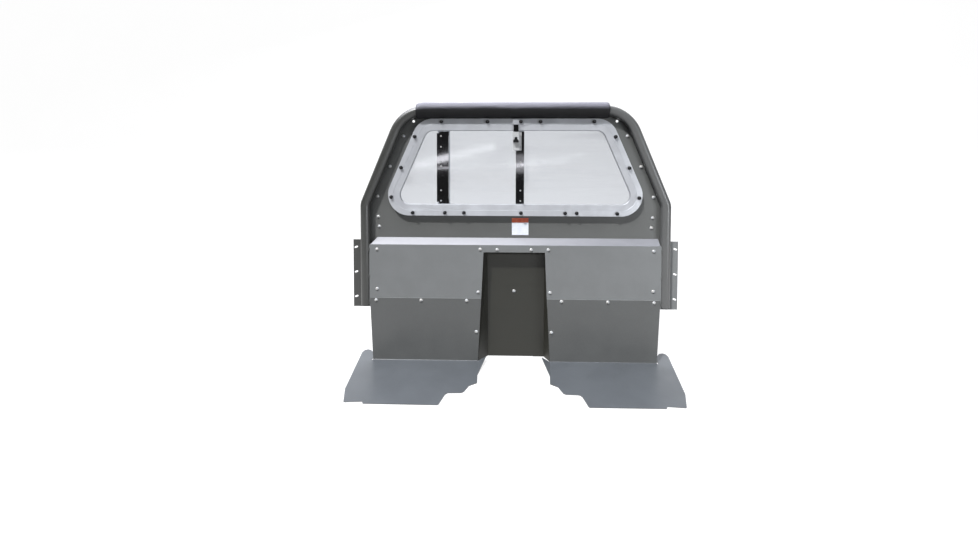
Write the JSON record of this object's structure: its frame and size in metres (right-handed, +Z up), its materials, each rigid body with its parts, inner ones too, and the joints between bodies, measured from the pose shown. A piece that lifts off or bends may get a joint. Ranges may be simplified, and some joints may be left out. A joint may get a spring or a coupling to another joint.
{
  "type": "vehicle cab partition",
  "caption": "Padded roll-bar cab partition with a framed sliding window, a sloping ledge, a console recess and lower panels with foot plates.",
  "frame": {"origin": "on the floor, on the centre line, under the front face of the lower panel", "axes": "+Z up, +Y to the rear of the vehicle, +X to the right seen from the front seats"},
  "size_m": [1.516, 0.451, 1.194],
  "materials": {
    "grey_coat": "semi-gloss powder coat",
    "dark_coat": "semi-gloss powder coat",
    "black_coat": "satin black",
    "frame_aluminium": "satin anodised",
    "latch_metal": "satin",
    "zinc": "bright zinc plate",
    "polycarbonate": "clear",
    "pad_foam": "skinned foam",
    "black_rubber": "matte",
    "black_plastic": "satin",
    "label_sheet": "satin film"
  },
  "bodies": {
    "frame": {"roll_bar_tube": "grey_coat", "leg_end_plugs": "black_plastic", "roll_bar_pad": "pad_foam", "tube_tabs": "grey_coat", "upper_panel": "grey_coat", "window_frame": "frame_aluminium", "frame_splice_key": "frame_aluminium", "window_gasket": "black_rubber", "fixed_pane_left": "polycarbonate", "fixed_pane_right": "polycarbonate", "pane_spacers": "frame_aluminium", "rear_clamp_ring": "frame_aluminium", "frame_bolts": "zinc", "frame_caps": "black_plastic", "frame_nuts": "zinc", "keeper_plate": "frame_aluminium", "info_label": "label_sheet", "lower_panel": "grey_coat", "console_pan": "dark_coat", "lower_extension_left": "grey_coat", "lower_extension_right": "grey_coat", "side_bracket_left": "grey_coat", "side_bracket_right": "grey_coat", "upper_panel_bolts": "zinc", "upper_panel_nuts": "zinc", "lower_panel_bolts": "zinc", "lower_panel_nuts": "zinc", "extension_bolts": "zinc", "extension_nuts": "zinc", "panel_welds": "grey_coat", "bracket_welds": "grey_coat"},
    "window": {"sliding_pane": "polycarbonate", "glide_shoes": "black_plastic", "left_stile": "black_coat", "right_stile": "black_coat", "stile_screws": "zinc", "latch_housing": "latch_metal", "latch_screws": "zinc"},
    "bolt": {"latch_bolt": "black_coat", "latch_stud": "zinc"},
    "knob": {"latch_knob": "black_plastic"}
  },
  "joints": [
    {"name": "window_slide", "type": "slide", "parent": "frame", "child": "window", "axis": [1, 0, 0], "range_m": [0, 0.3]},
    {"name": "latch_bolt_slide", "type": "slide", "parent": "window", "child": "bolt", "axis": [0, 0, 1], "range_m": [0, 0.01]},
    {"name": "latch_knob_turn", "type": "hinge", "parent": "bolt", "child": "knob", "pos_m": [0.0065, -0.01, 1.018], "axis": [0, 1, 0], "range_deg": [0, 270]}
  ]
}
